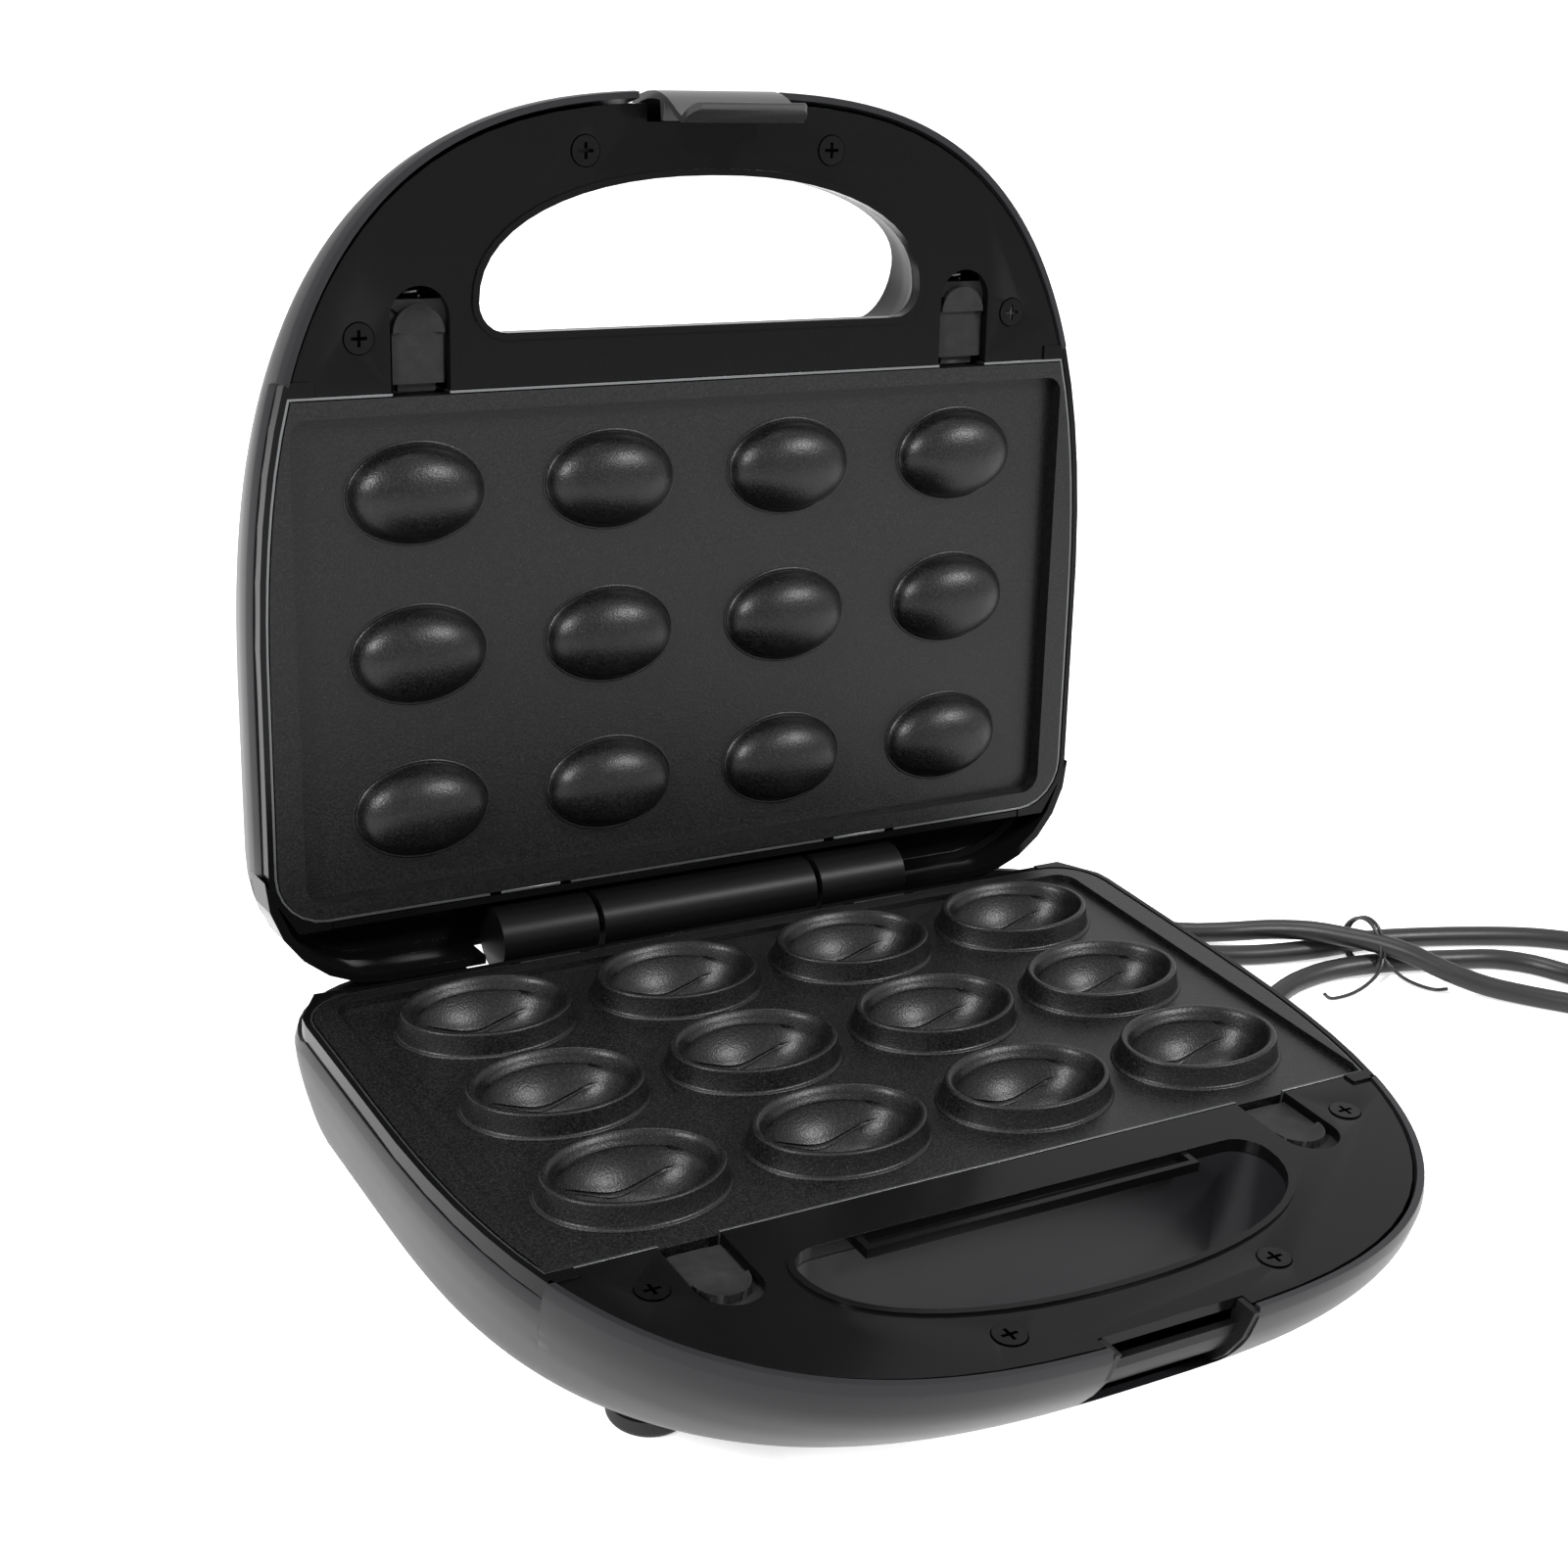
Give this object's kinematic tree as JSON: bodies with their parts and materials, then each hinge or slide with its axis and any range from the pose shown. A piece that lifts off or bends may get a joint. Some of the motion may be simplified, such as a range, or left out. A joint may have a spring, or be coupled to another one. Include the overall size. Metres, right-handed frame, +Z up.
{
  "type": "cake maker",
  "caption": "Countertop snack cake maker, open: hinged clamshell body with carrying-handle openings, oval shaped non-stick plates, plate latches and a front closing clip",
  "frame": {"origin": "On the table under the middle of the cooking plates, which is also the middle of the whole footprint with the lid open", "axes": "+X to the right along the plates, +Y to the rear (hinge side), +Z up; the lid stands open at its stop"},
  "size_m": [0.419, 0.2783, 0.247],
  "materials": {
    "housing_skin": "dark grey satin",
    "cover_gloss": "black gloss",
    "plate_coating": "black non-stick coating on cast aluminium",
    "tray_sheet": "bright zinc-coated sheet",
    "heater_tube": "dull steel tube",
    "bright_steel": "bright zinc",
    "black_screw": "black oxide",
    "spring_wire": "drawn wire",
    "latch_plastic": "dark grey, fine texture",
    "clip_plastic": "dark grey satin",
    "hinge_plastic": "black satin",
    "insert_plastic": "black",
    "foot_rubber": "black",
    "cord_sheath": "black sheath",
    "tie_strip": "black coated wire",
    "plug_brass": "plain",
    "terminal_plastic": "natural white",
    "wire_sleeve": "red-brown glass sleeve",
    "ceramic_white": "unglazed",
    "lens_red": "clear red",
    "lens_green": "clear green",
    "lamp_glass": "clear"
  },
  "bodies": {
    "base": {"lower_housing": "housing_skin", "lower_cover": "cover_gloss", "lower_plate": "plate_coating", "lower_tray": "tray_sheet", "lower_heater": "heater_tube", "lower_heater_clamps": "bright_steel", "lower_plate_clips": "bright_steel", "lower_cover_screws": "black_screw", "lower_tray_screws": "bright_steel", "thermal_fuse": "ceramic_white", "terminal_block": "terminal_plastic", "base_wires": "wire_sleeve", "catch_insert": "insert_plastic", "feet": "foot_rubber", "hinge_knuckles": "hinge_plastic", "knuckle_screws": "bright_steel", "hinge_pins": "bright_steel", "hinge_wires": "wire_sleeve", "spring_lower_left": "spring_wire", "spring_lower_right": "spring_wire", "cord_gland": "cord_sheath", "power_cord": "cord_sheath", "cord_tie": "tie_strip", "plug_body": "cord_sheath", "plug_pins": "plug_brass"},
    "lid": {"upper_housing": "housing_skin", "upper_cover": "cover_gloss", "upper_plate": "plate_coating", "upper_tray": "tray_sheet", "upper_heater": "heater_tube", "upper_heater_clamps": "bright_steel", "upper_plate_clips": "bright_steel", "upper_cover_screws": "black_screw", "upper_tray_screws": "bright_steel", "thermostat": "ceramic_white", "power_lens": "lens_red", "ready_lens": "lens_green", "neon_lamps": "lamp_glass", "hinge_barrel": "hinge_plastic", "barrel_screws": "bright_steel", "clip_pin": "bright_steel", "clip_spring": "spring_wire", "spring_upper_left": "spring_wire", "spring_upper_right": "spring_wire"},
    "clip": {"closing_clip": "clip_plastic"},
    "latch_ll": {"latch_lower_left": "latch_plastic"},
    "latch_lr": {"latch_lower_right": "latch_plastic"},
    "latch_ul": {"latch_upper_left": "latch_plastic"},
    "latch_ur": {"latch_upper_right": "latch_plastic"}
  },
  "joints": [
    {"name": "lid_hinge", "type": "hinge", "parent": "base", "child": "lid", "pos_m": [0, 0.074, 0.044], "axis": [1, 0, 0], "range_deg": [0, 95.5]},
    {"name": "clip_hinge", "type": "hinge", "parent": "lid", "child": "clip", "pos_m": [0, 0.10714, 0.23169], "axis": [-1, 0, 0], "range_deg": [0, 25], "stiffness_Nm_per_rad": 0.05, "springref_deg": -28.65, "deforming": ["clip_spring"]},
    {"name": "latch_slide_lower_left", "type": "slide", "parent": "base", "child": "latch_ll", "axis": [0, -1, 0], "range_m": [0, 0.004], "stiffness_N_per_m": 400, "springref_m": -0.006, "deforming": ["spring_lower_left"]},
    {"name": "latch_slide_lower_right", "type": "slide", "parent": "base", "child": "latch_lr", "axis": [0, -1, 0], "range_m": [0, 0.004], "stiffness_N_per_m": 400, "springref_m": -0.006, "deforming": ["spring_lower_right"]},
    {"name": "latch_slide_upper_left", "type": "slide", "parent": "lid", "child": "latch_ul", "axis": [0, 0.0958, 0.9954], "range_m": [0, 0.004], "stiffness_N_per_m": 400, "springref_m": -0.006, "deforming": ["spring_upper_left"]},
    {"name": "latch_slide_upper_right", "type": "slide", "parent": "lid", "child": "latch_ur", "axis": [0, 0.0958, 0.9954], "range_m": [0, 0.004], "stiffness_N_per_m": 400, "springref_m": -0.006, "deforming": ["spring_upper_right"]}
  ]
}
